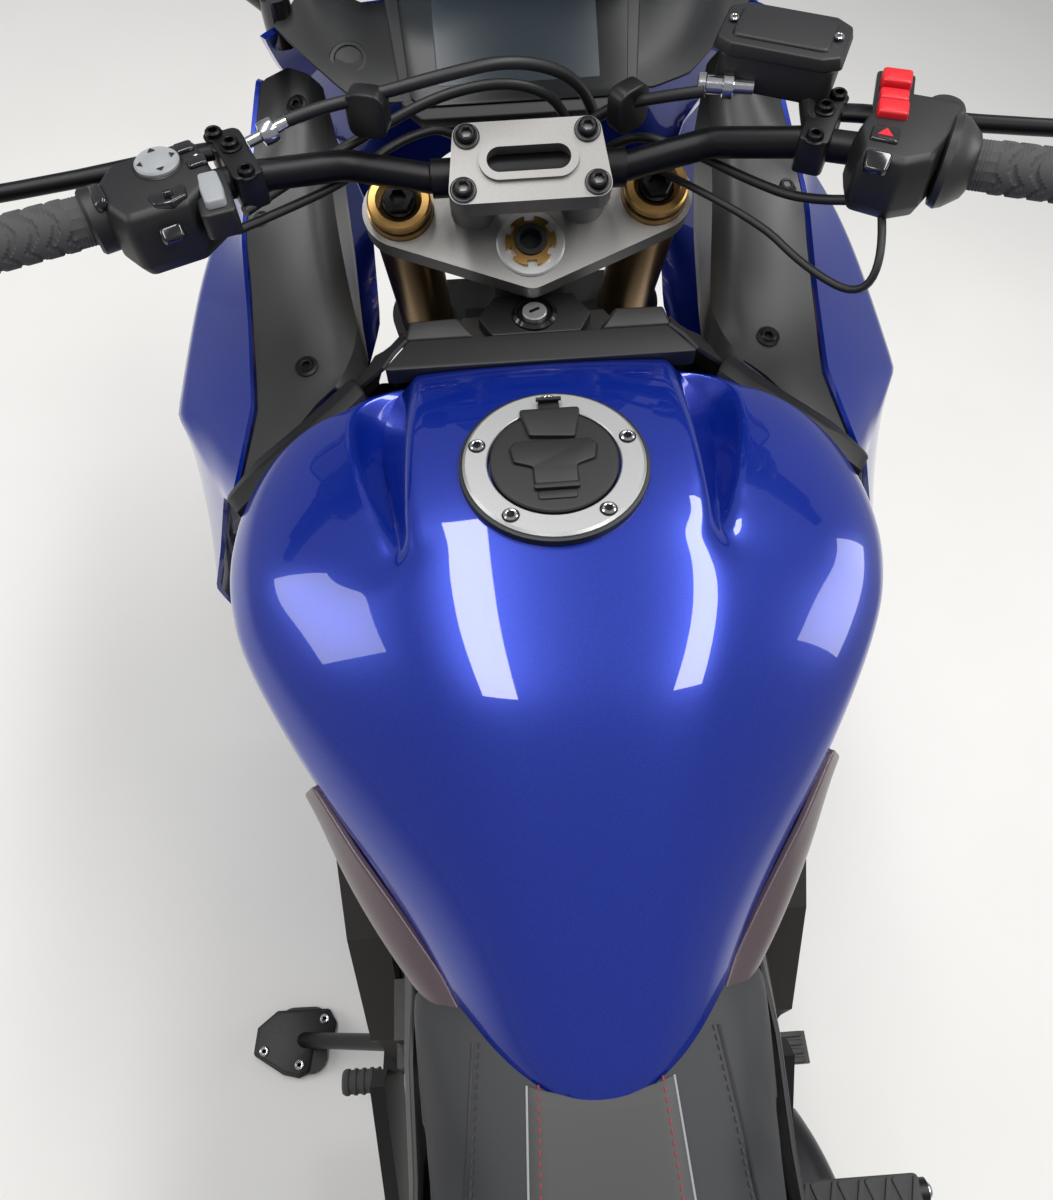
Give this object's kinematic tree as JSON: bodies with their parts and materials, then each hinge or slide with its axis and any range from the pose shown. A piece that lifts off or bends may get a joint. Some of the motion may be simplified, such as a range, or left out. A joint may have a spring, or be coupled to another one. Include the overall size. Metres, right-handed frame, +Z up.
{
  "type": "sport touring motorcycle",
  "caption": "Sport touring motorcycle with a fairing, faceted tank and twin seat, leaning on its side stand; wheels, steering, stand and filler lid move.",
  "frame": {"origin": "on the floor, under the middle of the parked machine's bounding box", "axes": "+X forward, +Y to the rider's left (the side that it leans to), +Z up"},
  "size_m": [2.1078, 0.9547, 1.256],
  "materials": {
    "body_paint": "gloss",
    "frame_paint": "satin",
    "engine_paint": "satin",
    "cast_aluminium": "satin",
    "gold_anodised": "satin",
    "bare_steel": "satin",
    "black_steel": "satin",
    "black_plastic": "matt",
    "gloss_black": "gloss",
    "mauve_grey": "satin",
    "grip_rubber": "matt",
    "tyre_rubber": "matt",
    "seat_cover": "matt",
    "lamp_lens": "clear",
    "red_lens": "gloss",
    "amber_lens": "gloss",
    "screen": "clear",
    "screen_black": "gloss"
  },
  "bodies": {
    "frame": {"main_frame": "frame_paint", "swingarm": "frame_paint", "rear_axle": "bare_steel", "drive_chain": "bare_steel", "tail_rails": "frame_paint", "engine": "engine_paint", "exhaust_pipes": "bare_steel", "silencer": "bare_steel", "radiator": "engine_paint", "rear_shock": "black_steel", "fuel_tank": "body_paint", "filler_ring": "cast_aluminium", "tank_cover": "black_plastic", "key_switch": "black_plastic", "rider_seat": "seat_cover", "pillion_seat": "seat_cover", "knee_panels": "mauve_grey", "side_cowls": "body_paint", "inner_panels": "black_plastic", "nose_cowl": "body_paint", "headlamps": "lamp_lens", "windscreen": "screen", "dash_display": "screen_black", "cowl_stay": "black_steel", "belly_cowl": "body_paint", "tail_cowl": "body_paint", "tail_lamp": "red_lens", "grab_rails": "black_steel", "rear_fender": "black_plastic", "mirrors": "gloss_black", "turn_signals": "amber_lens", "foot_controls": "cast_aluminium", "rear_caliper": "black_steel"},
    "steering": {"fork_tubes": "gold_anodised", "fork_caps": "gold_anodised", "fork_legs": "bare_steel", "front_axle": "bare_steel", "top_clamp": "cast_aluminium", "lower_clamp": "black_steel", "stem_nut": "gold_anodised", "handlebar": "black_steel", "grips": "grip_rubber", "bar_clamp": "cast_aluminium", "switch_boxes": "black_plastic", "hand_levers": "black_steel", "brake_reservoir": "black_plastic", "control_cables": "black_plastic", "front_calipers": "black_steel", "front_fender": "black_plastic"},
    "front_wheel": {"front_tyre": "tyre_rubber", "front_rim": "black_steel", "front_discs": "bare_steel"},
    "rear_wheel": {"rear_tyre": "tyre_rubber", "rear_rim": "black_steel", "rear_disc": "bare_steel", "rear_sprocket": "bare_steel"},
    "side_stand": {"side_stand": "black_steel"},
    "filler_lid": {"filler_lid": "black_plastic"}
  },
  "joints": [
    {"name": "steering_turn", "type": "hinge", "parent": "frame", "child": "steering", "pos_m": [0.3994, -0.00736, 0.95792], "axis": [-0.4226, 0.1791, 0.8884], "range_deg": [-31, 31]},
    {"name": "front_wheel_spin", "type": "hinge", "parent": "steering", "child": "front_wheel", "pos_m": [0.75405, -0.14097, 0.29529], "axis": [0, 0.9803, -0.1977], "continuous": true},
    {"name": "rear_wheel_spin", "type": "hinge", "parent": "frame", "child": "rear_wheel", "pos_m": [-0.70595, -0.13863, 0.30692], "axis": [0, 0.9803, -0.1977], "continuous": true},
    {"name": "side_stand_swing", "type": "hinge", "parent": "frame", "child": "side_stand", "pos_m": [-0.12795, 0.03796, 0.22143], "axis": [0.0079, 0.8417, 0.5398], "range_deg": [0, 94.08]},
    {"name": "filler_lid_swing", "type": "hinge", "parent": "frame", "child": "filler_lid", "pos_m": [0.21883, -0.00541, 0.96759], "axis": [0, 0.9803, -0.1977], "range_deg": [0, 85]}
  ]
}
